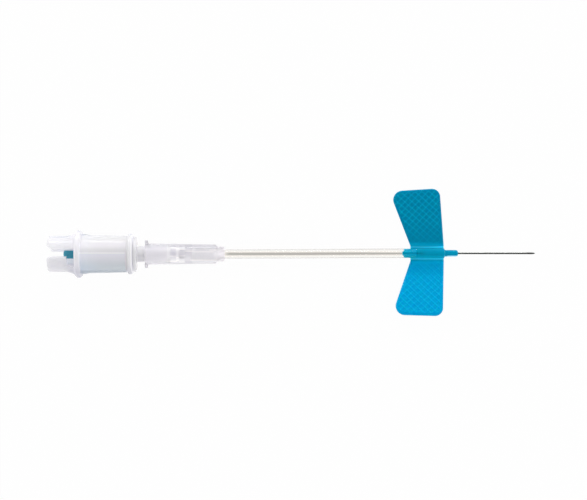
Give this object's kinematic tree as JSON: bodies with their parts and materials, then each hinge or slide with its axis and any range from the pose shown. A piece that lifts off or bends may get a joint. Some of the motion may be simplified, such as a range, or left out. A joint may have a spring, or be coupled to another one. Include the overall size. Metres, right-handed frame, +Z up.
{
  "type": "butterfly needle",
  "caption": "Winged blood collection needle with clear tubing, a luer hub and a slotted collection adapter whose rear needle is covered by a rubber sleeve.",
  "frame": {"origin": "middle of the bounding box, on the table that the object lies on", "axes": "+X from the collection adapter to the needle's point, +Y towards the wing that lies flatter, +Z up"},
  "size_m": [0.1358, 0.0356, 0.0132],
  "materials": {
    "steel": "polished stainless steel",
    "blue_plastic": "soft satin moulding",
    "clear_tube": "clear soft tube",
    "clear_plastic": "clear glossy moulding",
    "white_plastic": "smooth white moulding",
    "teal_rubber": "matt rubber"
  },
  "bodies": {
    "root": {"needle_cannula": "steel", "wing_moulding": "blue_plastic", "tubing": "clear_tube", "luer_hub": "clear_plastic", "adapter_core": "white_plastic", "adapter_housing": "white_plastic", "rear_cannula": "steel", "valve_sleeve": "teal_rubber"}
  },
  "joints": []
}
